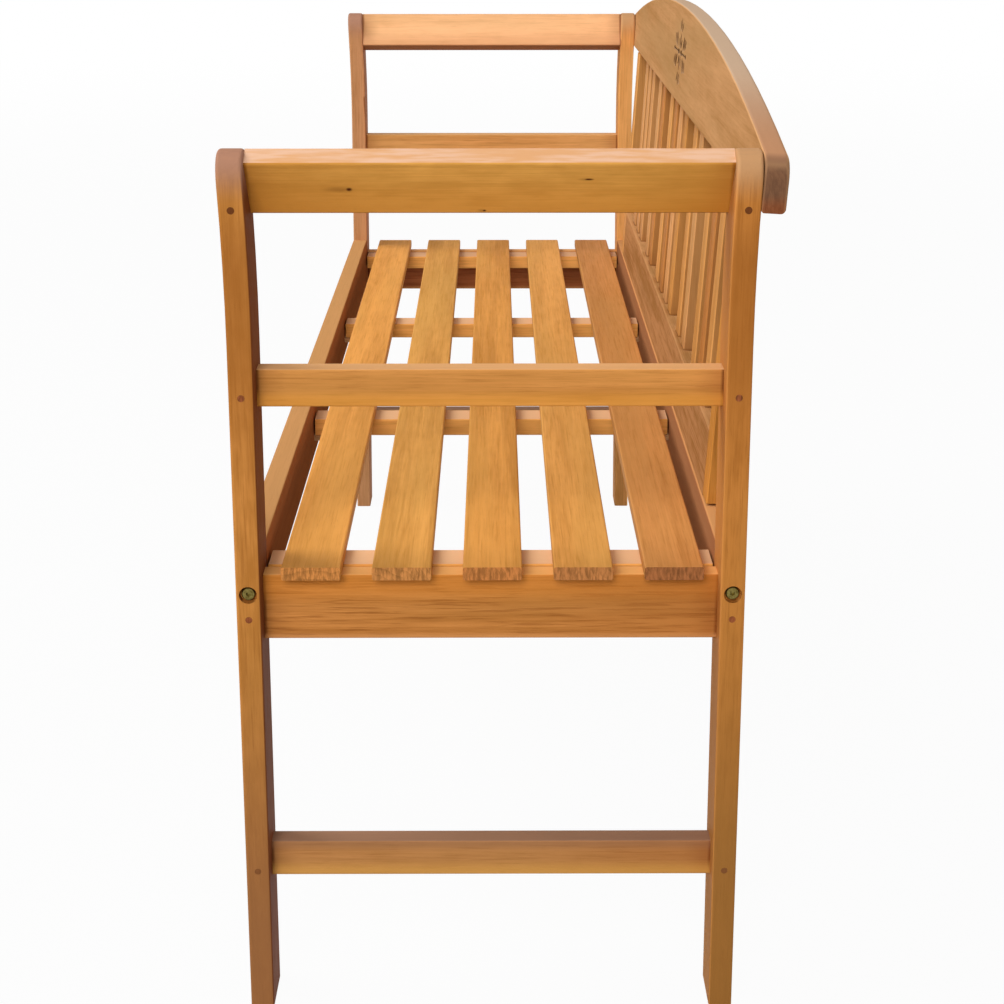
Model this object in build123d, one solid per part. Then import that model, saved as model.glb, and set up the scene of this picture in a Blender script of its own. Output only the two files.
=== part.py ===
from build123d import *
from math import cos, radians, sin
import os

# Wooden garden bench with arms, a slatted seat and a slatted back under an arched crest.
# A leg frame stands at each end of the bench, and two long rails are bolted between them.
# X runs along the bench, Y from the front to the back, Z up. Sizes are in millimetres.

os.makedirs("parts", exist_ok=True)

# Whole bench
bench_length = 1500.0  # outer faces of the two leg frames
frame_depth = 445.0  # front face of the front legs to rear face of the rear legs, at their waist
arm_top = 813.0  # top of the arms and of the legs
seat_top = 449.0  # top of the seat slats
edge_round = 2.0  # eased long edges of the rails and seat slats
edge_bevel = 1.2  # broken edges of the back slats and seat bearers
fit_gap = 0.15  # between a tenon and the sides of its mortise
drill_gap = 0.1  # between a round pin and its hole, on the radius

# Legs: boards set with their broad face to the front, splayed below a waist and swept out above it
leg_width = 54.0
leg_thickness = 22.0
leg_waist = 650.0
foot_splay = 8.0
top_sweep = 3.0
leg_top_round = 26.0  # of the top, over the outer and the inner edge
leg_edge_round = 3.0

# Rails of a leg frame, from the top down
arm_thickness = 22.0
arm_height = 52.0
arm_tilt = 28.0  # degrees, with the top of the board outwards
arm_recess = 14.0  # of the arm's outer top edge
side_rail_thickness = 21.0
side_rail_recess = 21.0
arm_rail_base = 592.5
arm_rail_height = 33.5
seat_side_height = 62.0
stretcher_base = 131.5
stretcher_height = 36.0

# Mortise and tenon joints of a leg frame, each locked by one round peg
tenon_length = 15.0
tenon_thickness = 10.0
tenon_shoulder = 4.0
seat_side_top_shoulder = 22.0  # leaves room over the tenon for the long rail's bolt
arm_bottom_shoulder = 1.0  # the arm's peg sits low in its tenon
peg_diameter = 6.0
arm_peg_rise = 5.0
arm_rail_peg_rise = 13.5
seat_side_peg_rise = 27.0
stretcher_peg_rise = 16.0

# Long seat rails between the leg frames
long_rail_height = 65.0
long_rail_lift = 9.0  # top of the long rails above the seat slats

# Seat panel
seat_slat_count = 5
seat_slat_width = 52.5
seat_slat_thickness = 12.2
seat_front_gap = 17.8  # between the first slat and the front seat rail
seat_rear_gap = 14.4  # between the last slat and the rear seat rail
seat_slat_inset = 7.0  # slat ends inside the outer faces of the legs
bearer_count = 4
bearer_width = 38.0
bearer_height = 19.0
bearer_side_gap = 4.0  # between an end bearer and the seat side rail
bearer_end_gap = 2.0
bearer_peg_diameter = 8.0
bearer_peg_depth = 14.0
bearer_peg_reach = 13.0
bearer_peg_offset = 12.0  # from the bearer's middle, towards the right end

# Back panel, leaning back from the rear seat rail
back_recline = 3.34  # degrees
back_setback = 1.7  # middle of the panel's foot behind the middle of the rear seat rail
lower_rail_height = 66.0
lower_rail_thickness = 22.0
back_end_gap = 90.5  # between an end slat and a rear leg
end_slat_foot_gap = 2.0  # under the end slats, over the rear seat rail
back_slat_width = 31.0
back_slat_thickness = 12.0
back_slat_groups = (1, 3, 2, 4, 2, 3, 1)
slat_gap = 29.0  # between slats of one group
slat_tenon = 15.0
crest_base = 764.0
crest_thickness = 21.0
crest_end_height = 44.0
crest_rise = 68.0  # of the arched top above the crest's ends
crest_corner_round = 22.0
crest_front_round = 2.5
crest_rear_round = 5.0
back_dowel_diameter = 10.0
back_dowel_length = 36.0
back_dowel_count = 3
back_dowel_inset = 105.0  # of the end dowels from the ends of the lower back rail

# Furniture bolts with a round head and a hexagon socket, and their cross nuts
bolt_diameter = 6.0
bolt_head_diameter = 12.5
bolt_head_height = 4.0
bolt_head_bevel = 1.0
bolt_socket = 4.0  # across the flats
bolt_socket_depth = 2.5
counterbore_diameter = 16.0
counterbore_depth = 7.0
rail_bolt_length = 86.0
cross_nut_diameter = 10.0
cross_nut_length = 16.0
cross_nut_inset = 30.0  # from the end of a long rail
crest_bolt_length = 30.0
crest_bolt_sink = 5.0
crest_bolt_inset = 39.0  # from the inside face of a rear leg
crest_bolt_rise = 22.0  # above the bottom of the crest

# Places worked out from the sizes above
frame_x = bench_length / 2
leg_inside_x = frame_x - leg_width
slat_base = seat_top - seat_slat_thickness
seat_side_base = slat_base - seat_side_height
arm_base = arm_top - arm_thickness * sin(radians(arm_tilt)) - arm_height
long_rail_top = seat_top + long_rail_lift
long_rail_middle = long_rail_top - long_rail_height / 2
panel_reach = leg_inside_x - back_end_gap
lower_rail_reach = panel_reach - back_slat_width


def span_box(x, y, z):
    """A box from three (low, high) spans."""
    lows, highs = zip(x, y, z)
    size = [high - low for low, high in zip(lows, highs)]
    return Pos(*lows) * Box(*size, align=(Align.MIN, Align.MIN, Align.MIN))


def rod(start, direction, length, diameter):
    """A cylinder of the given length that starts at a point and runs along a direction."""
    return Plane(start, z_dir=direction) * Cylinder(
        diameter / 2, length, align=(Align.CENTER, Align.CENTER, Align.MIN)
    )


# Legs

def leg_outside(z):
    """Distance of a leg's outside face from the middle of the bench, at height z."""
    if z < leg_waist:
        return frame_depth / 2 + foot_splay * (1 - z / leg_waist)
    return frame_depth / 2 + top_sweep * ((z - leg_waist) / (arm_top - leg_waist)) ** 2


def leg_middle(z):
    return leg_outside(z) - leg_thickness / 2


def leg_block(side):
    """Board of a right-hand leg with square edges, side -1 for the front and 1 for the rear."""

    def edge_points(depth):
        return [(side * (leg_outside(z) - depth), z) for z in (0, leg_waist, arm_top)]

    out_foot, out_waist, out_top = edge_points(0)
    in_foot, in_waist, in_top = edge_points(leg_thickness)
    upwards = Vector(*out_waist) - Vector(*out_foot)
    profile = make_face([
        Line(out_foot, out_waist),
        TangentArc(out_waist, out_top, tangent=upwards),
        Line(out_top, in_top),
        TangentArc(in_waist, in_top, tangent=upwards),
        Line(in_waist, in_foot),
        Line(in_foot, out_foot),
    ])
    at_inside = Plane((leg_inside_x, 0, 0), x_dir=(0, 1, 0), z_dir=(1, 0, 0))
    return extrude(at_inside * profile, leg_width)


def shaped_leg(block):
    """Leg with its top rounded over and its other edges eased, down to the floor."""
    leg = fillet(block.edges().filter_by(Axis.Y).group_by(Axis.Z)[-1], leg_top_round)
    upright = [edge for edge in leg.edges() if edge.bounding_box().size.Z > 1]
    across_top = leg.edges().filter_by(Axis.X).sort_by(Axis.Z)[-2:]
    return fillet([*upright, *across_top], leg_edge_round)


square_legs = {"front": leg_block(-1), "rear": leg_block(1)}
legs = {name: shaped_leg(block) for name, block in square_legs.items()}


# Rails of a leg frame

def frame_rail(base, height, width, recess, shoulders, tilt):
    """Rail between the right-hand legs, the mortises for its tenons, and its place in the frame.

    The rail is made upright, and its place turns it about its outer top edge.
    """
    x_span = (frame_x - recess - width, frame_x - recess)
    reach = leg_middle(base)
    blank = span_box(x_span, (-reach, reach), (base, base + height))
    turn = Pos(x_span[1], 0, base + height) * Rot(0, tilt, 0) * Pos(-x_span[1], 0, -base - height)
    blank = turn * fillet(blank.edges().filter_by(Axis.Y), edge_round)
    for leg in square_legs.values():
        blank = blank - leg - Pos(-leg_width / 2, 0, 0) * leg
    middle_x = sum(x_span) / 2
    tenon_reach = leg_outside(base + height / 2) - leg_thickness + tenon_length
    tenon_heights = (base + shoulders[0], base + height - shoulders[1])

    def tenons(gap):
        x = (middle_x - tenon_thickness / 2 - gap, middle_x + tenon_thickness / 2 + gap)
        z = (tenon_heights[0] - gap, tenon_heights[1] + gap)
        return turn * span_box(x, (-tenon_reach - gap, tenon_reach + gap), z)

    return blank + tenons(0), tenons(fit_gap), turn * Pos(middle_x, 0, base)


frame_rails = {}
frame_pegs = []


def add_frame_rail(
    name, base, height, width, recess, peg_rise, shoulders=(tenon_shoulder, tenon_shoulder), tilt=0.0
):
    """Make a rail of the right-hand frame, cut its mortises and lock each tenon with a peg."""
    rail, mortise, place = frame_rail(base, height, width, recess, shoulders, tilt)
    in_tenon = (place * Pos(0, 0, peg_rise)).position
    peg_length = frame_x - in_tenon.X + tenon_thickness / 2 / cos(radians(tilt))
    for end, side in (("front", -1), ("rear", 1)):
        outer_end = (frame_x, side * leg_middle(in_tenon.Z), in_tenon.Z)
        peg_hole = rod(outer_end, (-1, 0, 0), peg_length, peg_diameter + 2 * drill_gap)
        legs[end] = legs[end] - mortise - peg_hole
        rail = rail - peg_hole
        frame_pegs.append(rod(outer_end, (-1, 0, 0), peg_length, peg_diameter).solid())
    frame_rails[name] = rail


side_rail = {"width": side_rail_thickness, "recess": side_rail_recess}
add_frame_rail(
    "arm", arm_base, arm_height, arm_thickness, arm_recess, arm_peg_rise,
    shoulders=(arm_bottom_shoulder, tenon_shoulder), tilt=arm_tilt,
)
add_frame_rail(
    "arm_lower_rail", arm_rail_base, arm_rail_height, **side_rail, peg_rise=arm_rail_peg_rise
)
add_frame_rail(
    "seat_side_rail", seat_side_base, seat_side_height, **side_rail,
    peg_rise=seat_side_peg_rise, shoulders=(tenon_shoulder, seat_side_top_shoulder),
)
add_frame_rail(
    "stretcher", stretcher_base, stretcher_height, **side_rail, peg_rise=stretcher_peg_rise
)


# Furniture bolts

def furniture_bolt(seat, direction, length):
    """Bolt whose head rests on the seat point, with its shank along the direction."""
    shank = rod(seat, direction, length, bolt_diameter)
    outwards = [-value for value in direction]
    head = rod(seat, outwards, bolt_head_height, bolt_head_diameter)
    top = head.faces().sort_by_distance(tuple(s + 99 * o for s, o in zip(seat, outwards)))[0]
    head = chamfer(top.edges(), bolt_head_bevel)
    socket_plane = Plane(top.center(), z_dir=direction)
    socket = extrude(
        socket_plane * RegularPolygon(bolt_socket / 2, 6, major_radius=False), bolt_socket_depth
    )
    return (shank + head - socket).solid()


def bolt_hole(seat, direction, length, sink):
    """Hole for a furniture bolt: its shank, and a counterbore back from the head's seat."""
    outwards = [-value for value in direction]
    shank = rod(seat, direction, length + bolt_diameter / 2, bolt_diameter + 2 * drill_gap)
    return shank + rod(seat, outwards, sink + edge_round, counterbore_diameter)


# Long seat rails, each bolted to a leg at both ends and carrying pegs under the middle bearers

def spread(first, last, count):
    """Evenly spaced places from the first to the last."""
    step = (last - first) / (count - 1)
    return [first + step * number for number in range(count)]


side_rail_inside = frame_x - side_rail_recess - side_rail_thickness
end_bearer = side_rail_inside - bearer_side_gap - bearer_width / 2
bearer_places = spread(-end_bearer, end_bearer, bearer_count)


long_rails = {}
rail_bolts = []
cross_nuts = []
bearer_pegs = []
rail_z = (long_rail_top - long_rail_height, long_rail_top)
for end, side in (("front", -1), ("rear", 1)):
    middle_y = side * leg_middle(long_rail_middle)
    y_span = (middle_y - leg_thickness / 2, middle_y + leg_thickness / 2)
    rail = span_box((-leg_inside_x, leg_inside_x), y_span, rail_z)
    rail = fillet(rail.edges().filter_by(Axis.X), edge_round)
    inside_y = middle_y - side * leg_thickness / 2
    for hand in (-1, 1):
        inwards = (-hand, 0, 0)
        bolt_seat = (hand * (frame_x - counterbore_depth), middle_y, long_rail_middle)
        hole = bolt_hole(bolt_seat, inwards, rail_bolt_length, counterbore_depth)
        nut_x = hand * (leg_inside_x - cross_nut_inset)
        nut_start = (nut_x, middle_y - side * cross_nut_length / 2, long_rail_middle)
        nut = rod(nut_start, (0, side, 0), cross_nut_length, cross_nut_diameter)
        nut_depth = leg_thickness / 2 + cross_nut_length / 2
        nut_hole = rod(
            (nut_x, inside_y, long_rail_middle), (0, side, 0), nut_depth,
            cross_nut_diameter + 2 * drill_gap,
        )
        rail = rail - hole - nut_hole
        rail_bolts.append(furniture_bolt(bolt_seat, inwards, rail_bolt_length))
        cross_nuts.append((nut - hole).solid())
        if hand == 1:
            legs[end] = legs[end] - hole
    for x in bearer_places[1:-1]:
        peg_z = slat_base - bearer_height - bearer_peg_diameter / 2
        peg_start = (x + bearer_peg_offset, inside_y + side * bearer_peg_depth, peg_z)
        reach = bearer_peg_depth + bearer_peg_reach
        bearer_pegs.append(rod(peg_start, (0, -side, 0), reach, bearer_peg_diameter).solid())
        rail = rail - rod(peg_start, (0, -side, 0), reach, bearer_peg_diameter + 2 * drill_gap)
    long_rails[end] = rail


# Seat panel: slats laid across bearers, with their ends over the seat side rails

rail_inside_y = leg_middle(long_rail_middle) - leg_thickness / 2
seat_slat_places = spread(
    seat_front_gap + seat_slat_width / 2 - rail_inside_y,
    rail_inside_y - seat_rear_gap - seat_slat_width / 2,
    seat_slat_count,
)


def seat_slat(y):
    reach = frame_x - seat_slat_inset
    y_span = (y - seat_slat_width / 2, y + seat_slat_width / 2)
    slat = span_box((-reach, reach), y_span, (slat_base, seat_top))
    return fillet(slat.edges().filter_by(Axis.X), edge_round).solid()


def seat_bearer(x):
    reach = leg_middle(slat_base) - leg_thickness / 2 - bearer_end_gap
    x_span = (x - bearer_width / 2, x + bearer_width / 2)
    bearer = span_box(x_span, (-reach, reach), (slat_base - bearer_height, slat_base))
    return chamfer(bearer.edges().filter_by(Axis.Y), edge_bevel).solid()


# Back panel: modelled upright on the panel's middle plane, then leaned back into place

back_foot_y = leg_middle(long_rail_middle) + back_setback
lean = Pos(0, back_foot_y, long_rail_top) * Rot(-back_recline, 0, 0)
panel_crest_base = crest_base - long_rail_top
below_panel = span_box((-frame_x, frame_x), (0, frame_depth), (0, long_rail_top))


def back_slat_places():
    """Middles of the back slats along X, in groups about the middle of the bench."""
    first_edge = -panel_reach
    timber = sum(back_slat_groups) * back_slat_width
    close_gaps = sum(group - 1 for group in back_slat_groups) * slat_gap
    group_gap = (-2 * first_edge - timber - close_gaps) / (len(back_slat_groups) - 1)
    places = []
    edge = first_edge
    for group in back_slat_groups:
        for _ in range(group):
            places.append(edge + back_slat_width / 2)
            edge += back_slat_width + slat_gap
        edge += group_gap - slat_gap
    return places


def slat_blank(x, gap):
    """Back slat with both ends let into the rails, or its two mortises when gap is their clearance."""
    half_width = back_slat_width / 2 + gap
    half_thickness = back_slat_thickness / 2 + gap
    z_span = (lower_rail_height - slat_tenon, panel_crest_base + slat_tenon)
    return span_box((x - half_width, x + half_width), (-half_thickness, half_thickness), z_span)


def back_slat(x):
    slat = slat_blank(x, 0)
    return lean * chamfer(slat.edges().filter_by(Axis.Z), edge_bevel).solid()


def lower_rail_tenons(gap):
    """Tenons of the lower back rail in the end slats, or their mortises when gap is their clearance."""
    reach = lower_rail_reach + slat_tenon + gap
    half_thickness = tenon_thickness / 2 + gap
    z_span = (lower_rail_thickness - gap, lower_rail_height - tenon_shoulder + gap)
    return span_box((-reach, reach), (-half_thickness, half_thickness), z_span)


def end_slat(x):
    """Outermost slat, as thick as the lower rail, from just over the rear seat rail up into the crest."""
    half_thickness = lower_rail_thickness / 2
    upright = span_box(
        (x - back_slat_width / 2, x + back_slat_width / 2),
        (-half_thickness, half_thickness), (-half_thickness, panel_crest_base),
    )
    upright = chamfer(upright.edges().filter_by(Axis.Z), edge_bevel)
    slat = lean * (upright + slat_blank(x, 0) - lower_rail_tenons(fit_gap))
    return (slat - Pos(0, 0, end_slat_foot_gap) * below_panel).solid()


def crest_blank():
    """Crest board with a level bottom, an arched top and rounded ends."""
    top = panel_crest_base + crest_end_height
    corners = [(-frame_x, top), (-frame_x, panel_crest_base), (frame_x, panel_crest_base), (frame_x, top)]
    arch = ThreePointArc(corners[3], (0, top + crest_rise), corners[0])
    face = make_face([*Polyline(*corners).edges(), arch])
    ends = [face.vertices().sort_by_distance((x, top, 0))[0] for x in (-frame_x, frame_x)]
    face = fillet(ends, crest_corner_round)
    board = extrude(Plane.XZ.offset(-crest_thickness / 2) * face, crest_thickness)
    front, rear = board.faces().filter_by(Axis.Y).sort_by(Axis.Y)
    board = fillet(front.edges(), crest_front_round)
    rear = board.faces().sort_by(Axis.Y)[-1]
    return fillet(rear.edges(), crest_rear_round)


slat_places = back_slat_places()
crest = crest_blank()
half_lower = lower_rail_thickness / 2
lower_rail = span_box(
    (-lower_rail_reach, lower_rail_reach), (-half_lower, half_lower), (-half_lower, lower_rail_height)
)
lower_rail = fillet(lower_rail.edges().filter_by(Axis.X), edge_round) + lower_rail_tenons(0)
for x in slat_places:
    crest = crest - slat_blank(x, fit_gap)
for x in slat_places[1:-1]:
    lower_rail = lower_rail - slat_blank(x, fit_gap)

crest_bolts = []
inwards = (0, -1, 0)
for hand in (-1, 1):
    bolt_x = hand * (leg_inside_x + crest_bolt_inset)
    seat = (bolt_x, crest_thickness / 2 - crest_bolt_sink, panel_crest_base + crest_bolt_rise)
    hole = bolt_hole(seat, inwards, crest_bolt_length, crest_bolt_sink)
    crest_bolts.append(lean * furniture_bolt(seat, inwards, crest_bolt_length))
    crest = crest - hole
    if hand == 1:
        legs["rear"] = legs["rear"] - lean * hole

# The crest is let in where it meets the rear legs, and the lower rail is cut level on the rear seat rail
crest = lean * crest - square_legs["rear"] - mirror(square_legs["rear"], Plane.YZ)
lower_rail = lean * lower_rail - below_panel

back_dowels = []
dowel_y = (back_foot_y + leg_middle(long_rail_middle)) / 2
end_dowel = lower_rail_reach - back_dowel_inset
for x in spread(-end_dowel, end_dowel, back_dowel_count):
    start = (x, dowel_y, long_rail_top - back_dowel_length / 2)
    back_dowels.append(rod(start, (0, 0, 1), back_dowel_length, back_dowel_diameter).solid())
    hole = rod(start, (0, 0, 1), back_dowel_length, back_dowel_diameter + 2 * drill_gap)
    lower_rail = lower_rail - hole
    long_rails["rear"] = long_rails["rear"] - hole


# All pieces by name: what is made for the right end is mirrored for the left

def both_hands(name, piece):
    return {f"{name}_right": piece, f"{name}_left": mirror(piece, Plane.YZ)}


pieces = {}
for end, leg in legs.items():
    pieces.update(both_hands(f"{end}_leg", leg.solid()))
for name, rail in frame_rails.items():
    pieces.update(both_hands(name, rail))
for end, rail in long_rails.items():
    pieces[f"{end}_seat_rail"] = rail.solid()
for number, x in enumerate(bearer_places, 1):
    pieces[f"seat_bearer_{number}"] = seat_bearer(x)
for number, y in enumerate(seat_slat_places, 1):
    pieces[f"seat_slat_{number}"] = seat_slat(y)
pieces["crest_rail"] = crest.solid()
pieces["lower_back_rail"] = lower_rail.solid()
for number, x in enumerate(slat_places, 1):
    at_end = x in (slat_places[0], slat_places[-1])
    pieces[f"back_slat_{number:02d}"] = end_slat(x) if at_end else back_slat(x)
left_pegs = [mirror(peg, Plane.YZ) for peg in frame_pegs]
pieces["frame_pegs"] = Compound(frame_pegs + left_pegs)
pieces["rail_bolts"] = Compound(rail_bolts)
pieces["cross_nuts"] = Compound(cross_nuts)
pieces["bearer_pegs"] = Compound(bearer_pegs)
pieces["crest_bolts"] = Compound(crest_bolts)
pieces["back_dowels"] = Compound(back_dowels)

# The origin is on the floor under the middle of the bench's outline
outline = Compound([pieces["front_leg_right"], pieces["crest_rail"]]).bounding_box()
to_origin = Pos(0, -(outline.min.Y + outline.max.Y) / 2, 0)
for name, piece in pieces.items():
    export_step(to_origin * piece, f"parts/{name}.step")
print(f"origin moved {to_origin.position.Y} mm along Y")
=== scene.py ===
import math
import random

import bmesh
import bpy
from mathutils import Matrix, Vector


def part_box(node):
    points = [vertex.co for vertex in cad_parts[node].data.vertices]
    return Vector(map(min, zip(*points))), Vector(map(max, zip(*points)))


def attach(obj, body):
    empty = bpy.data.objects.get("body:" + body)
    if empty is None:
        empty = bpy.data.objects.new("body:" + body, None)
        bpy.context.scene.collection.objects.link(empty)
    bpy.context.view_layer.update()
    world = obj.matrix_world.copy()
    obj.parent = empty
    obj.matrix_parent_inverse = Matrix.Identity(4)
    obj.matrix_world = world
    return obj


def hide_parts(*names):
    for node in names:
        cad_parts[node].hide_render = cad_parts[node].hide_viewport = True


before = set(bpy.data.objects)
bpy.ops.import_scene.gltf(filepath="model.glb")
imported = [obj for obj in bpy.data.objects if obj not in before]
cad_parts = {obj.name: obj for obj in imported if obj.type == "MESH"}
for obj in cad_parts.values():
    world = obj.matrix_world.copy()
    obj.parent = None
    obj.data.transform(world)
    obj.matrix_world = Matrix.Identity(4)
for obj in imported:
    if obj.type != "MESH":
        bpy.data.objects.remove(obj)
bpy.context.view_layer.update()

# Legs: four sawn boards of an oiled golden-brown hardwood, with the grain running up them.
# Each is splayed to its foot and rounded over at the top, where a pinkish grey painted sheen lies on the
# end grain.


class Wire:
    """One shader value: + - * / and ** on it add Math nodes, and node() adds any other node."""

    def __init__(self, tree, socket=None):
        self.tree = tree
        self.socket = socket

    def node(self, kind, settings=None, inputs=None, output=0):
        """Add a node, give it its settings, then values or links for its sockets, by name or number."""
        made = self.tree.nodes.new(kind)
        for name, value in (settings or {}).items():
            setattr(made, name, value)
        for name, value in (inputs or {}).items():
            if isinstance(value, Wire):
                self.tree.links.new(value.socket, made.inputs[name])
            else:
                made.inputs[name].default_value = value
        return Wire(self.tree, made.outputs[output] if made.outputs else None)

    def other(self, output):
        """Another output of the node that this value comes from."""
        return Wire(self.tree, self.socket.node.outputs[output])

    def maths(self, operation, *values):
        """A Math node of one operation on these values."""
        return self.node("ShaderNodeMath", {"operation": operation}, dict(enumerate(values)))

    def __add__(self, value):
        return self.maths("ADD", self, value)

    def __sub__(self, value):
        return self.maths("SUBTRACT", self, value)

    def __rsub__(self, value):
        return self.maths("SUBTRACT", value, self)

    def __mul__(self, value):
        return self.maths("MULTIPLY", self, value)

    def __truediv__(self, value):
        return self.maths("DIVIDE", self, value)

    def __pow__(self, value):
        return self.maths("POWER", self, value)

    def __abs__(self):
        return self.maths("ABSOLUTE", self)

    def parts(self):
        """The three numbers of a vector."""
        first = self.node("ShaderNodeSeparateXYZ", {}, {"Vector": self})
        return [first, first.other(1), first.other(2)]

    def fade(self, start, end):
        """0 at start, 1 at end and smooth between them, also where start is the larger."""
        low, high = min(start, end), max(start, end)
        ends = {"To Min": 0.0, "To Max": 1.0} if start < end else {"To Min": 1.0, "To Max": 0.0}
        return self.node(
            "ShaderNodeMapRange", {"interpolation_type": "SMOOTHSTEP"},
            {"Value": self, "From Min": low, "From Max": high, **ends},
        )

    def blend(self, first, second):
        """First colour where this value is 0, second where it is 1."""
        return self.node("ShaderNodeMix", {"data_type": "RGBA"}, {0: self, 6: first, 7: second}, 2)


def linear(red, green, blue):
    """A colour in linear light from its 0 to 255 screen values."""
    def channel(value):
        value /= 255
        return value / 12.92 if value <= 0.04045 else ((value + 0.055) / 1.055) ** 2.4
    return [channel(red), channel(green), channel(blue)]


def tinted(colour, red, green, blue):
    """A colour for a socket, with a gain on each of its three parts."""
    return (*(min(1.0, part * gain) for part, gain in zip(colour, (red, green, blue))), 1.0)


def new_material(name):
    """An empty node material, with wires to a surface point's place and to its facing."""
    material = bpy.data.materials.new(name)
    material.use_nodes = True
    material.node_tree.nodes.clear()
    place = Wire(material.node_tree).node("ShaderNodeTexCoord", {}, {}, "Object")
    return material, place, place.other("Normal")


def finish_material(wire, inputs):
    """Close a material with one surface shader."""
    surface = wire.node("ShaderNodeBsdfPrincipled", {}, inputs, "BSDF")
    wire.node("ShaderNodeOutputMaterial", {}, {"Surface": surface})


X, Y, Z = range(3)


def oiled_board(
    name, low, high, grain, tone, hidden=0.0, figure=1.0, lines=0.2, mottle=0.5, edge_wear=0.25,
    end_tone=(0.62, 0.56, 0.5), sheen=0.05, layers=(),
):
    """Oiled hardwood of one board, with soft bands, streaks, fibres, pores and rough ends.

    grain is the axis that the board's length follows, and hidden is the length let into its neighbours.
    figure is the strength of the streaks, lines that of the fine dark ones, mottle that of the blotches.
    edge_wear is how far the edges are worn pale and carry a painted highlight.
    end_tone is the gain of the sawn ends and sheen the gloss.
    Each layer is a function of a point's place and facing that gives a mask and the colour laid over the
    wood there.
    """
    draw = random.Random(name)
    material, place, facing = new_material(name)
    axes = {"X": (X, Y, Z), "Y": (Y, X, Z), "Z": (Z, X, Y)}[grain]
    middle = [(low[axis] + high[axis]) / 2 for axis in axes]
    along, across, through = (place.parts()[axis] for axis in axes)
    shifts = [draw.uniform(-20, 20) for _ in range(3)]

    def drawn_noise(stretch, scale, detail, roughness, flatten=1.0):
        """Noise drawn out along the grain, or through the board by flatten."""
        spread = place.node("ShaderNodeCombineXYZ", {}, {
            "X": along / stretch + shifts[0], "Y": across + shifts[1], "Z": through * flatten + shifts[2],
        })
        return place.node("ShaderNodeTexNoise", {"noise_dimensions": "3D"}, {
            "Vector": spread, "Scale": scale, "Detail": detail, "Roughness": roughness,
        })

    # Grain: broad bands, changes of hue, streaks, fibres, fine dark lines, blotches and pores.
    band = drawn_noise(stretch=14.0, scale=26.0, detail=2.0, roughness=0.5)
    hue = drawn_noise(stretch=9.0, scale=17.0, detail=2.0, roughness=0.5)
    streak = drawn_noise(stretch=26.0, scale=120.0, detail=3.0, roughness=0.6)
    fibre = drawn_noise(stretch=40.0, scale=620.0, detail=2.0, roughness=0.6)
    line = drawn_noise(stretch=26.0, scale=480.0, detail=2.0, roughness=0.6).fade(0.52, 0.70)
    blotch = drawn_noise(stretch=2.5, scale=75.0, detail=2.0, roughness=0.55)
    pore = drawn_noise(stretch=22.0, scale=1500.0, detail=1.0, roughness=0.5).fade(0.62, 0.76)

    # Growth rings round a pith beside the board's middle, each darkest at its outer side.
    ring_gap = 0.0062
    pith_angle = draw.uniform(0, 2 * math.pi)
    pith_gap = draw.uniform(0.03, 0.08)
    sideways = across - (middle[1] + pith_gap * math.cos(pith_angle))
    upwards = through - (middle[2] + pith_gap * math.sin(pith_angle))
    radius = (sideways * sideways + upwards * upwards) ** 0.5 + band * 0.03
    turn = place.maths("FRACT", radius / ring_gap)
    late = turn ** 3.0 * turn.fade(1.0, 0.93)

    # Colour of the long faces: pale to deep, with olive patches and dark lines.
    shade = (band - 0.5) * 2.2 + ((streak - 0.5) * 1.6 + (fibre - 0.5) * 1.0 + late * 0.25) * figure
    shade = shade + (blotch - 0.5) * mottle
    depth = shade.fade(-0.66, 0.76)
    gain = draw.uniform(0.97, 1.04)
    pale = tinted(tone, 1.16 * gain, 1.17 * gain, 1.2 * gain)
    deep = tinted(tone, 0.80 * gain, 0.75 * gain, 0.62 * gain)
    olive = tinted(tone, 0.89 * gain, 0.98 * gain, 0.96 * gain)
    dark = tinted(tone, 0.42, 0.30, 0.20)
    colour = depth.blend(pale, deep)
    colour = (hue.fade(0.42, 0.66) * 0.45).blend(colour, olive)
    colour = (line * lines + pore * 0.18).blend(colour, dark)

    # Rounded edges, which face two ways at once, are worn paler and carry a painted highlight.
    normal_parts = facing.parts()
    crossed = abs(normal_parts[0] * normal_parts[1]) + abs(normal_parts[1] * normal_parts[2])
    crossed = crossed + abs(normal_parts[0] * normal_parts[2])
    colour = (crossed.fade(0.22, 0.46) * edge_wear).blend(colour, tinted(tone, 1.32, 1.4, 1.6))

    # Sawn ends are chipped, with the growth rings across them.
    end_pale, end_deep = 1.45, 0.58
    end_grain = abs(normal_parts[axes[0]]).fade(0.75, 0.95)
    chips = drawn_noise(stretch=1.0, scale=380.0, detail=3.0, roughness=0.6, flatten=0.25)
    end_shade = chips.fade(0.36, 0.66) * 0.8 + late * 0.35
    end_colour = end_shade.node("ShaderNodeClamp", {}, {"Value": end_shade}).blend(
        tinted(tone, *(part * end_pale for part in end_tone)),
        tinted(tone, *(part * end_deep for part in end_tone)),
    )
    colour = (end_grain * 0.9).blend(colour, end_colour)

    # The seam at a shoulder is dark with oil, and painted shade darkens the wood beside it.
    if hidden:
        reach = (high[axes[0]] - low[axes[0]]) / 2 - hidden
        from_joint = reach - abs(along - middle[0])
        seam = from_joint.fade(0.0035, 0.0004) * 0.55 + from_joint.fade(0.03, 0.0) * 0.3
        colour = seam.blend(colour, tinted(tone, 0.22, 0.13, 0.09))
    for layer in layers:
        mask, cover = layer(place, facing)
        colour = mask.blend(colour, cover)

    rough = fibre * 0.16 + end_grain * 0.2 + line * 0.1 + 0.52
    height = fibre * 0.5 - line * lines * 1.4 - pore * 0.4 - chips * end_grain * 2.2
    normal = place.node("ShaderNodeBump", {}, {"Strength": 0.3, "Distance": 0.0007, "Height": height})
    finish_material(place, {
        "Base Color": colour, "Roughness": rough, "Normal": normal, "Specular IOR Level": sheen,
    })
    return material


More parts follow.
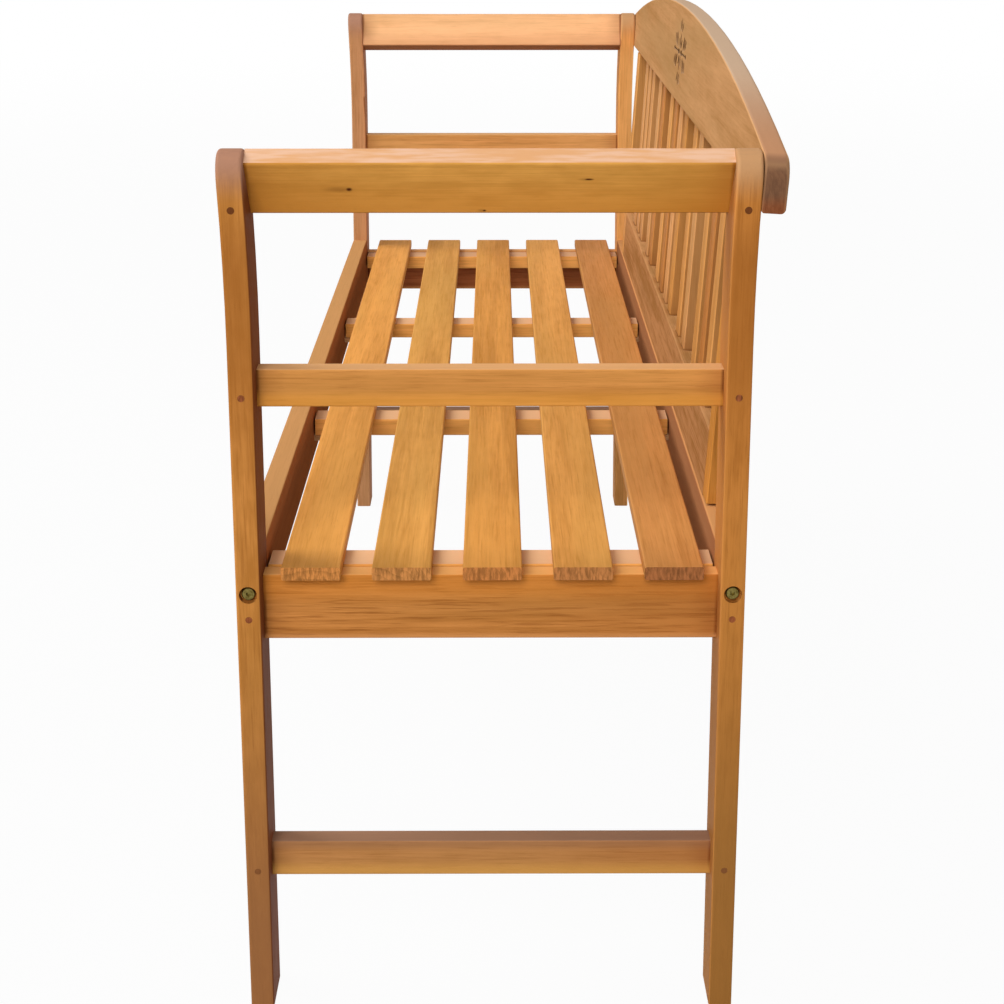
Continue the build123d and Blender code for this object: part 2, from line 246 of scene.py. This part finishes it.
def dress(node, material):
    """Give a frame piece its finish."""
    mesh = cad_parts[node].data
    mesh.materials.clear()
    mesh.materials.append(material)


def board(node, grain, tone, **looks):
    """Finish a frame piece as one board of oiled wood."""
    dress(node, oiled_board(node, *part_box(node), grain, tone, **looks))


near_front_leg = linear(197, 131, 63)
near_rear_leg = linear(187, 120, 54)
near_leg_dark = linear(156, 93, 35)
near_leg_foot = linear(146, 97, 60)
rear_leg_foot = linear(154, 105, 50)
far_front_leg = linear(200, 142, 98)
far_rear_leg = linear(240, 170, 100)
inside_dark = linear(104, 51, 25)
inside_shade_brown = linear(150, 92, 52)
leg_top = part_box("front_leg_right")[1].z


def place_tint(axis, start, end, strength, colour):
    """A colour laid over a piece along an axis, from where it starts to where it is full."""
    def layer(place, facing):
        return place.parts()[axis].fade(start, end) * strength, (*colour, 1)
    return layer


def facing_tint(axis, start, end, strength, colour):
    """A colour laid over the faces of a piece that look along an axis, or against it below 0."""
    def layer(place, facing):
        return facing.parts()[axis].fade(start, end) * strength, (*colour, 1)
    return layer


# The legs are darker and greyer towards the foot.
darker_foot = place_tint(Z, 0.42, 0.06, 0.85, near_leg_foot)
rear_darker_foot = place_tint(Z, 0.46, 0.14, 0.85, rear_leg_foot)
waist_foot, waist_low, waist_high, waist_top = 0.50, 0.66, 0.72, 0.79
top_end = leg_top - 0.008


def darker_waist(place, facing):
    """Darker colour on the right legs between the lower arm rail and the arm."""
    height = place.parts()[Z]
    oiled = height.fade(waist_foot, waist_low) * height.fade(waist_top, waist_high)
    return oiled * 0.65, (*near_leg_dark, 1)


# Painted light: the rear legs' sides that face the front are painted more golden.
lit_front_side = facing_tint(Y, -0.5, -0.8, 0.6, linear(222, 150, 80))
shaded_side = facing_tint(Y, 0.5, 0.8, 0.88, inside_dark)
# Painted shade: the sides of the front legs that face the back are painted darker and browner.
shaded_back_side = facing_tint(Y, 0.5, 0.8, 0.7, inside_shade_brown)
# Painted sheen: the rounded top of each leg is painted pinkish grey, as light from above shows on it.
front_top_sheen = place_tint(Z, leg_top - 0.043, top_end, 0.9, linear(162, 119, 98))
rear_top_sheen = place_tint(Z, leg_top - 0.044, top_end, 0.9, linear(186, 142, 100))
front_layers = [darker_foot, darker_waist, shaded_side, front_top_sheen]
rear_layers = [rear_darker_foot, darker_waist, lit_front_side, rear_top_sheen]
board("front_leg_right", "Z", near_front_leg, mottle=1.7, layers=front_layers)
board("rear_leg_right", "Z", near_rear_leg, mottle=1.5, layers=rear_layers)
board("front_leg_left", "Z", far_front_leg, mottle=1.0, layers=[shaded_back_side, front_top_sheen])
board("rear_leg_left", "Z", far_rear_leg, mottle=1.0, layers=[lit_front_side, rear_top_sheen])

# Frame rails: an arm, a lower arm rail, a seat rail and a stretcher tenoned between each pair of legs.
# They are honey to tan boards with the grain front to back, and oil and painted shade darken their
# shoulders.
# The arm leans outwards and its upper edge carries a pale painted highlight. The right one has three
# small knots.

frame_tenon = 0.015
honey = linear(226, 160, 77)
honey_deep = linear(202, 133, 52)
tan = linear(208, 140, 72)
warm_brown = linear(197, 129, 65)
stretcher_brown = linear(192, 131, 76)
far_honey = linear(234, 177, 126)
far_tan = linear(226, 165, 102)
far_red = linear(160, 92, 54)
lip_pale = linear(218, 175, 144)
lip_gold = linear(211, 158, 111)
arm_oil_and_shade = linear(176, 110, 34)
arm_face_top, arm_face_foot = 0.800, 0.757
arm_darkening_start, arm_darkening_full = 0.07, 0.20


def lip_highlight(place, facing):
    """Upper edge of an arm painted pale as a highlight, with soft streaks of golden wood left along it.
    """
    x, y, z = place.parts()
    spread = place.node("ShaderNodeCombineXYZ", {}, {"X": x, "Y": y / 8, "Z": z})
    streak = place.node("ShaderNodeTexNoise", {}, {"Vector": spread, "Scale": 170.0, "Detail": 2.0})
    cover = streak.fade(0.36, 0.64).blend((*lip_pale, 1), (*lip_gold, 1))
    return facing.parts()[Z].fade(0.62, 0.8), cover


# Painted shade: faces of the arms that look downwards are painted darker.
shaded_underside = facing_tint(Z, -0.62, -0.8, 0.75, linear(124, 70, 28))
# Painted light: the side rails' top faces are painted paler.
lit_top = facing_tint(Z, 0.7, 0.9, 0.8, linear(234, 172, 102))


def knot(spot, size, stretch, tail):
    """A dark knot in the right arm's face, with a soft tail of the given length towards the front."""
    def layer(place, facing):
        x, y, z = (part - centre for part, centre in zip(place.parts(), spot))
        aside = x * x + z * z
        heart = ((y / stretch) ** 2 + aside) ** 0.5
        trail = (((y + tail * 0.6) * (size / tail)) ** 2 + aside * 0.6) ** 0.5
        mask = heart.fade(size, size * 0.3) * 0.8 + trail.fade(size * 1.3, size * 0.2) * 0.3
        return mask.node("ShaderNodeClamp", {}, {"Value": mask}), tinted(honey, 0.1, 0.05, 0.04)
    return layer


def lower_face(place, facing):
    """Deeper colour towards the lower edge of the right arm."""
    return place.parts()[Z].fade(arm_face_top, arm_face_foot) * 0.75, (*honey_deep, 1)


def oil_and_shade_ends(place, facing):
    """Darker towards both ends of the right arm, from oil and painted shade."""
    return abs(place.parts()[Y]).fade(arm_darkening_start, arm_darkening_full) * 0.36, (*arm_oil_and_shade, 1)


arm_marks = [
    lower_face,
    oil_and_shade_ends,
    lip_highlight,
    shaded_underside,
    knot((0.7232, -0.1272, 0.7796), size=0.0026, stretch=1.3, tail=0.014),
    knot((0.7283, 0.0727, 0.7885), size=0.0013, stretch=4.0, tail=0.006),
    knot((0.713, -0.0145, 0.760), size=0.0014, stretch=1.5, tail=0.004),
]
arm_looks = {"hidden": frame_tenon, "figure": 0.9, "lines": 0.1, "mottle": 1.6, "edge_wear": 0.0}
pinker_foot = place_tint(Z, 0.790, 0.772, 0.4, linear(226, 160, 116))
far_arm_looks = {**arm_looks, "figure": 0.6, "mottle": 0.8}
board("arm_right", "Y", honey, layers=arm_marks, **arm_looks)
board("arm_left", "Y", far_honey, layers=[pinker_foot, lip_highlight, shaded_underside], **far_arm_looks)

# Painted sheen: the lower arm rails' top faces are painted paler.
sheen_top = facing_tint(Z, 0.6, 0.85, 0.75, linear(228, 176, 122))
lower_rail_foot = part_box("arm_lower_rail_right")[0].z
golden_band = place_tint(Z, lower_rail_foot + 0.017, lower_rail_foot + 0.006, 0.5, linear(226, 152, 60))
board("arm_lower_rail_right", "Y", tan, hidden=frame_tenon, layers=[golden_band, sheen_top])
board("arm_lower_rail_left", "Y", far_tan, hidden=frame_tenon, layers=[sheen_top])

side_low, side_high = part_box("seat_side_rail_right")
# The right side rail is deeper orange in a band just below its top.
orange_top_band = place_tint(Z, side_high.z - 0.032, side_high.z - 0.010, 0.5, linear(210, 128, 44))
# Painted highlight: a pale strip along the side rails' rounded lower edge.
highlit_foot = place_tint(Z, side_low.z + 0.007, side_low.z + 0.001, 0.5, linear(228, 160, 100))
redder_rear = place_tint(Y, 0.0, 0.16, 0.35, linear(160, 90, 36))
side_layers = [highlit_foot, lit_top]
side_looks = {"hidden": frame_tenon, "figure": 1.3, "lines": 0.45}
board("seat_side_rail_right", "Y", warm_brown, layers=[orange_top_band, redder_rear, *side_layers], **side_looks)
board("seat_side_rail_left", "Y", far_red, layers=side_layers, **side_looks)

stretcher_low, stretcher_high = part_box("stretcher_right")
# The stretchers are greyer on their top faces and along their upper edge.
grey_pink_top = facing_tint(Z, 0.7, 0.9, 0.75, linear(158, 124, 102))
golden_foot = place_tint(Z, stretcher_low.z + 0.018, stretcher_low.z + 0.003, 0.65, linear(214, 156, 76))
grey_brown_edge = place_tint(Z, stretcher_high.z - 0.013, stretcher_high.z - 0.002, 0.5, linear(150, 106, 78))
stretcher_layers = [golden_foot, grey_brown_edge, grey_pink_top]
stretcher_looks = {"hidden": frame_tenon, "mottle": 1.0}
board("stretcher_right", "Y", stretcher_brown, layers=[redder_rear, *stretcher_layers], **stretcher_looks)
board("stretcher_left", "Y", far_tan, layers=stretcher_layers, **stretcher_looks)

# Frame pegs: turned dark dowels driven through the tenons and sanded flush with the legs.
# Only their end grain shows, as brown discs, dark in the arms and hardly darker than the leg at its foot.

peg_brown = linear(140, 80, 48)
arm_peg_brown = linear(104, 58, 26)
low_peg_brown = linear(128, 82, 46)
plain_end = (1.0, 0.95, 0.9)
peg_layers = [
    place_tint(Z, 0.70, 0.72, 0.9, arm_peg_brown),
    place_tint(Z, 0.30, 0.25, 0.85, low_peg_brown),
]
board("frame_pegs", "X", peg_brown, end_tone=plain_end, layers=peg_layers)

# Long seat rails: two boards on edge, bolted to the legs at each end through a counterbore.
# The brass-coloured bolts screw into steel cross nuts, and short dowels carry the middle bearers.

rail_brown = linear(176, 116, 68)
rear_rail_brown = linear(192, 134, 84)
peg_tan = linear(196, 148, 104)
# Painted light: the front seat rail's top faces are painted paler.
lit_rail_top = facing_tint(Z, 0.7, 0.9, 0.6, linear(210, 160, 104))
shaded_rail = facing_tint(Y, 0.5, 0.8, 0.6, linear(158, 98, 62))
reddish_inside = facing_tint(Y, -0.5, -0.8, 0.85, linear(172, 114, 76))
# Painted highlight: the rear seat rail's top and upper front edge are painted golden.
highlit_top_edge = facing_tint(Z, 0.3, 0.7, 0.8, linear(206, 146, 92))
board("front_seat_rail", "X", rail_brown, sheen=0.0, layers=[lit_rail_top, shaded_rail])
board("rear_seat_rail", "X", rear_rail_brown, sheen=0.0, layers=[reddish_inside, highlit_top_edge])
board("bearer_pegs", "Y", peg_tan, end_tone=plain_end)


def plated_metal(name, colour, roughness):
    """Plated fastener metal with faint blotches of tarnish."""
    material, place, _ = new_material(name)
    blotch = place.node("ShaderNodeTexNoise", {}, {"Vector": place, "Scale": 420.0, "Detail": 3.0})
    finish_material(place, {
        "Base Color": blotch.fade(0.35, 0.7).blend((*colour, 1), tinted(colour, 0.5, 0.46, 0.36)),
        "Metallic": 1.0,
        "Roughness": blotch * 0.3 + roughness,
    })
    return material


brass_plate = plated_metal("brass_plate", linear(132, 118, 66), 0.2)
plain_steel = plated_metal("plain_steel", linear(176, 174, 170), 0.3)
dress("rail_bolts", brass_plate)
dress("cross_nuts", plain_steel)

# Seat slats: five planed boards laid along the bench with their ends sawn square over the side rails.
# Their tops are the smoothest faces, and the rough end grain shows at the near end.

slat_tones_and_ends = (
    (linear(214, 148, 72), (0.70, 0.61, 0.72)),
    (linear(207, 148, 73), (0.71, 0.60, 0.76)),
    (linear(204, 141, 67), (0.72, 0.58, 0.76)),
    (linear(207, 146, 74), (0.62, 0.51, 0.67)),
    (linear(193, 131, 71), (0.53, 0.43, 0.53)),
)
for number, (tone, end_tone) in enumerate(slat_tones_and_ends, 1):
    board(f"seat_slat_{number}", "X", tone, figure=0.8, lines=0.14, end_tone=end_tone)

# Seat bearers: four cross battens under the slats, of the palest timber in the bench.
# Each slat is held to each bearer by one steel screw with a domed cross-slot head, driven from below.

bearer_tan = linear(232, 162, 86)
bearer_grey = facing_tint(Z, 0.7, 0.9, 0.9, linear(220, 175, 134))
bearers = [f"seat_bearer_{number}" for number in range(1, 5)]
for bearer in bearers:
    board(bearer, "Y", bearer_tan, edge_wear=0.0, layers=[bearer_grey])

head_profile = ((0.0041, 0.0), (0.0041, 0.0005), (0.0037, 0.0012), (0.0027, 0.0019), (0.0014, 0.0023))
head_sides = 20
slot_length, slot_width, slot_depth = 0.0046, 0.0009, 0.0014
crease_angle = math.radians(32)


def new_piece(name, mesh):
    """A new piece of the fixed body."""
    piece = bpy.data.objects.new(name, mesh)
    bpy.context.scene.collection.objects.link(piece)
    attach(piece, "root")
    return piece


def cut_away(name, shape, cutter):
    """The mesh that is left of one bmesh where another is cut out of it."""
    solids = []
    for form in (shape, cutter):
        mesh = bpy.data.meshes.new(name)
        form.to_mesh(mesh)
        form.free()
        solid = bpy.data.objects.new(name, mesh)
        bpy.context.scene.collection.objects.link(solid)
        solids.append(solid)
    cut = solids[0].modifiers.new("cut", "BOOLEAN")
    cut.operation = "DIFFERENCE"
    cut.solver = "EXACT"
    cut.use_self = True
    cut.object = solids[1]
    cut_solid = solids[0].evaluated_get(bpy.context.evaluated_depsgraph_get())
    result = bpy.data.meshes.new_from_object(cut_solid)
    for solid in solids:
        bpy.data.objects.remove(solid)
    result.shade_smooth()
    result.set_sharp_from_angle(angle=crease_angle)
    return result


heads = bmesh.new()
slots = bmesh.new()
for bearer in bearers:
    low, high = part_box(bearer)
    for number in range(1, 6):
        slat_low, slat_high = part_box(f"seat_slat_{number}")
        seat = Vector(((low.x + high.x) / 2, (slat_low.y + slat_high.y) / 2, low.z))
        rings = []
        for ring_radius, drop in head_profile:
            ring = []
            for side in range(head_sides):
                angle = 2 * math.pi * side / head_sides
                offset = Vector((ring_radius * math.cos(angle), ring_radius * math.sin(angle), -drop))
                ring.append(heads.verts.new(seat + offset))
            rings.append(ring)
        heads.faces.new(rings[0])
        heads.faces.new(reversed(rings[-1]))
        for upper, lower in zip(rings, rings[1:]):
            for side in range(head_sides):
                after = (side + 1) % head_sides
                heads.faces.new((upper[side], lower[side], lower[after], upper[after]))
        for size in ((slot_length, slot_width), (slot_width, slot_length)):
            spread = Matrix.Diagonal((*size, 2 * slot_depth, 1))
            crown = Matrix.Translation(seat - Vector((0, 0, head_profile[-1][1])))
            bmesh.ops.create_cube(slots, size=1.0, matrix=crown @ spread)
bmesh.ops.recalc_face_normals(heads, faces=heads.faces)
slat_screws = new_piece("slat_screws", cut_away("slat_screws", heads, slots))
slat_screws.data.materials.append(plain_steel)

# Back: a lower rail on the rear seat rail and upright slats in groups, let into mortises at both ends.
# The two end slats are thicker and run down past the lower rail, which hidden dowels hold.

back_rail_brown = linear(178, 128, 82)
back_tones = (linear(216, 154, 86), linear(198, 137, 70), linear(210, 152, 94), linear(190, 125, 64))
slat_side_shade = linear(174, 120, 68)
end_slat_gold = linear(198, 134, 60)
slat_tenon = 0.015
board("lower_back_rail", "X", back_rail_brown, figure=1.2, mottle=1.2, sheen=0.0)
board("back_dowels", "Z", peg_brown, end_tone=plain_end)
slat_draw = random.Random("back slats")
# Painted shade: the back slats' narrow sides, which look along the bench, are painted darker.
shaded_slat_sides = [facing_tint(X, side * 0.6, side * 0.9, 0.5, slat_side_shade) for side in (-1, 1)]
for number in range(2, 16):
    board(
        f"back_slat_{number:02d}", "Z", slat_draw.choice(back_tones),
        hidden=slat_tenon, edge_wear=0.6, layers=shaded_slat_sides,
    )
board("back_slat_01", "Z", back_tones[0], edge_wear=0.6, layers=shaded_slat_sides)
board("back_slat_16", "Z", end_slat_gold, edge_wear=0.5)

# Crest: one broad board with an arched top, let in and bolted to the rear legs from behind.
# A rosette between sprays of leaves is cut with a gouge into the middle of its front, and its cuts are
# painted dark as shade.

crest_tone = linear(194, 146, 98)
carving_dark = linear(48, 25, 15)
crest_top_grey = linear(190, 164, 140)
crest_top_brown = linear(174, 126, 94)
crest_end_brown = linear(108, 76, 58)
crest_end_red = linear(128, 66, 38)
carving_height = 0.822
carving_half_length, carving_half_height = 0.066, 0.040
cut_depth = 0.0036
cut_lift = 0.0003
cut_shade_starts, cut_shade_full = -0.00005, -0.0003
cut_shade_deep, cut_shade_deepest = -0.005, -0.006
cut_shade_margin, cut_shade_reach = 0.004, 0.006
shoulder_start, shoulder_end = 0.42, 0.74
crest_low, crest_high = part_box("crest_rail")

# The frame's stored normals would shade the newly cut faces wrongly, so the blank goes without them.
crest_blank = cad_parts["crest_rail"].data.copy()
if "custom_normal" in crest_blank.attributes:
    crest_blank.attributes.remove(crest_blank.attributes["custom_normal"])
crest_form = bmesh.new()
crest_form.from_mesh(crest_blank)
bpy.data.meshes.remove(crest_blank)
bmesh.ops.remove_doubles(crest_form, verts=crest_form.verts, dist=1e-6)
front_faces = [face for face in crest_form.faces if face.normal.y < -0.9]
front_face = max(front_faces, key=lambda face: face.calc_area())
crest_out = front_face.normal.copy()
crest_along = Vector((1, 0, 0))
crest_up = crest_out.cross(crest_along)
face_point = front_face.verts[0].co
carving_centre = Vector((0, face_point.y, carving_height))
carving_centre.y -= (carving_centre - face_point).dot(crest_out) / crest_out.y

gouge = bmesh.new()


def gouge_cut(along, up, turn, length, width):
    """One almond-shaped cut, turned from the crest's length, its middle given from the rosette's."""
    heading = crest_along * math.cos(turn) + crest_up * math.sin(turn)
    placing = Matrix.Translation(
        carving_centre + crest_along * along + crest_up * up + crest_out * cut_lift
    )
    axes = zip(heading * (length / 2), crest_out.cross(heading) * (width / 2), crest_out * cut_depth)
    stretch = Matrix([list(row) for row in axes]).to_4x4()
    bmesh.ops.create_icosphere(gouge, subdivisions=2, radius=1.0, matrix=placing @ stretch)


petals, petal_ring, petal_size = 8, 0.0140, (0.0168, 0.0070)
heart_size = (0.0048, 0.0048)
stem_cuts, stem_start, stem_step, stem_size = 3, 0.0290, 0.0115, (0.0100, 0.0030)
leaf_length, leaf_shrink, leaf_fullness = 0.0230, 0.0035, 0.36
leaf_ahead, leaf_lift, leaf_slope = 0.006, 0.0125, math.radians(52)
bud_place, bud_size = 0.0640, (0.0115, 0.0056)
upright = math.pi / 2
crown_lift, crown_size = 0.0325, (0.0160, 0.0066)
flank_place, flank_lift, flank_lean, flank_size = 0.0128, 0.0300, math.radians(40), (0.0165, 0.0062)

for petal in range(petals):
    turn = 2 * math.pi * petal / petals
    gouge_cut(petal_ring * math.cos(turn), petal_ring * math.sin(turn), turn, *petal_size)
gouge_cut(0, 0, 0, *heart_size)
for side in (-1, 1):
    for step in range(stem_cuts):
        stem = stem_start + stem_step * step
        gouge_cut(side * stem, 0.0, 0.0, *stem_size)
        leaf = leaf_length - leaf_shrink * step
        for lift in (-1, 1):
            slope = lift * side * leaf_slope
            gouge_cut(side * (stem + leaf_ahead), lift * leaf_lift, slope, leaf, leaf * leaf_fullness)
    gouge_cut(side * bud_place, 0.0, 0.0, *bud_size)
    gouge_cut(0.0, side * crown_lift, upright, *crown_size)
    for lean in (-1, 1):
        slope = upright - side * lean * flank_lean
        gouge_cut(lean * flank_place, side * flank_lift, slope, *flank_size)


def shaded_cuts(place, facing):
    """Painted shade in the carving, below the crest's front face."""
    x, y, z = place.parts()
    sunk = (x - carving_centre.x) * crest_out.x + (y - carving_centre.y) * crest_out.y
    sunk = sunk + (z - carving_centre.z) * crest_out.z
    beside, above = abs(x) - carving_half_length, abs(z - carving_height) - carving_half_height
    near = beside.fade(cut_shade_reach, cut_shade_margin) * above.fade(cut_shade_reach, cut_shade_margin)
    cut_shade_mask = sunk.fade(cut_shade_starts, cut_shade_full) * sunk.fade(cut_shade_deepest, cut_shade_deep)
    return cut_shade_mask * near * 0.95, (*carving_dark, 1)


def crest_top_sheen(place, facing):
    """Painted sheen on the top of the crest, greyest in the middle and browner down its shoulders."""
    browner = abs(place.parts()[X]).fade(shoulder_start, shoulder_end)
    cover = browner.blend((*crest_top_grey, 1), (*crest_top_brown, 1))
    return facing.parts()[Z].fade(0.6, 0.85) * 0.85, cover


def soaked_ends(place, facing):
    """End grain of the crest, dark with oil and red at its lower edge."""
    x, _, z = place.parts()
    browner = z.fade(crest_low.z + 0.004, crest_low.z + 0.018)
    cover = browner.blend((*crest_end_red, 1), (*crest_end_brown, 1))
    return abs(x).fade(crest_high.x - 0.020, crest_high.x - 0.006) * 0.7, cover


def square_to_crest(face):
    """Whether a face is one of the board's flat sides, not of a rounded edge or a cut."""
    return max(abs(face.normal.dot(axis)) for axis in (crest_out, crest_along, crest_up)) > 0.9999


carved_mesh = cut_away("carved_crest", crest_form, gouge)

# The flat sides keep an even shade right up to the rounded edges and the cuts.
flats = bmesh.new()
flats.from_mesh(carved_mesh)
for edge in flats.edges:
    if len({square_to_crest(face) for face in edge.link_faces}) > 1:
        edge.smooth = False
flats.to_mesh(carved_mesh)
flats.free()

carved_crest = new_piece("carved_crest", carved_mesh)
carved_crest.data.materials.append(oiled_board(
    "carved_crest", crest_low, crest_high, "X", crest_tone, figure=0.6, lines=0.05,
    edge_wear=0.6, end_tone=(0.42, 0.36, 0.38), sheen=0.0,
    layers=[crest_top_sheen, soaked_ends, shaded_cuts],
))
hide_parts("crest_rail")
dress("crest_bolts", brass_plate)

# Studio: a pale floor that keeps the bench's shadow, with large soft lamps before the bench, beside the
# camera and, weaker, behind. The surround is white for the camera and for reflections.


def soft_lamp(name, place, target, size, power):
    """A round soft lamp that faces a target."""
    light = bpy.data.lights.new(name, "AREA")
    light.shape = "DISK"
    light.size = size
    light.energy = power
    lamp = bpy.data.objects.new(name, light)
    lamp.location = place
    lamp.rotation_euler = (Vector(target) - Vector(place)).to_track_quat("-Z", "Y").to_euler()
    bpy.context.scene.collection.objects.link(lamp)


seat_middle = (0.0, 0.0, 0.5)
soft_lamp("before_bench", (-0.6, -4.0, 5.0), seat_middle, size=4.0, power=290)
soft_lamp("beside_camera", (6.0, -1.0, 3.7), seat_middle, size=3.4, power=300)
soft_lamp("behind_bench", (-0.5, 5.5, 2.0), seat_middle, size=4.0, power=115)


def white_where_seen(wire):
    """1 for what the camera sees, also in a gloss or through glass, and 0 for light on the bench."""
    camera_ray = wire.node("ShaderNodeLightPath", {}, {}, "Is Camera Ray")
    seen = camera_ray + camera_ray.other("Is Glossy Ray") + camera_ray.other("Is Transmission Ray")
    return seen.node("ShaderNodeClamp", {}, {"Value": seen})


half_floor = 60.0
floor_grey = (0.42, 0.42, 0.42, 1)
white = (1, 1, 1, 1)
near_glow = 0.96
shadow_reach, clear_floor = 2.5, 9.0
floor_mesh = bpy.data.meshes.new("floor")
floor_corners = [(x * half_floor, y * half_floor, 0) for x, y in ((-1, -1), (1, -1), (1, 1), (-1, 1))]
floor_mesh.from_pydata(floor_corners, [], [(0, 1, 2, 3)])
floor = bpy.data.objects.new("floor", floor_mesh)
bpy.context.scene.collection.objects.link(floor)
floor_finish, floor_place, _ = new_material("pale_floor")
paint = floor_place.node("ShaderNodeBsdfDiffuse", {}, {"Color": floor_grey})
glow = floor_place.node("ShaderNodeEmission", {}, {"Color": white, "Strength": 1.0})
from_bench = floor_place.node("ShaderNodeVectorMath", {"operation": "LENGTH"}, {0: floor_place}, "Value")
whitening = from_bench.fade(shadow_reach, clear_floor) * (1 - near_glow) + near_glow
floor_glow = white_where_seen(floor_place) * whitening
floor_mix = floor_place.node("ShaderNodeMixShader", {}, {0: floor_glow, 1: paint, 2: glow})
floor_place.node("ShaderNodeOutputMaterial", {}, {"Surface": floor_mix})
floor_mesh.materials.append(floor_finish)

world = bpy.data.worlds.new("white_surround")
bpy.context.scene.world = world
world.use_nodes = True
world.node_tree.nodes.clear()
room_light = 0.22
strength = white_where_seen(Wire(world.node_tree)) * (1 - room_light) + room_light
surround = strength.node("ShaderNodeBackground", {}, {"Color": white, "Strength": strength})
surround.node("ShaderNodeOutputWorld", {}, {"Surface": surround})

# Camera: a long lens beyond the right end of the bench, above the arm and looking down along the seat.
# Its place, tilt and focal length come from the bench's own edges in the photograph.

picture_size = 1004
focal_pixels = 1827.4
camera_data = bpy.data.cameras.new("camera")
camera_data.sensor_width = 36.0
camera_data.lens = focal_pixels / picture_size * camera_data.sensor_width
camera = bpy.data.objects.new("camera", camera_data)
camera.location = (2.2469, -0.0063, 1.0360)
pitch = math.radians(19.27)
yaw = math.radians(0.243)
view = Vector((-math.cos(yaw) * math.cos(pitch), math.sin(yaw) * math.cos(pitch), -math.sin(pitch)))
camera.rotation_euler = view.to_track_quat("-Z", "Y").to_euler()
bpy.context.scene.collection.objects.link(camera)
bpy.context.scene.camera = camera
bpy.context.scene.view_settings.view_transform = "Standard"
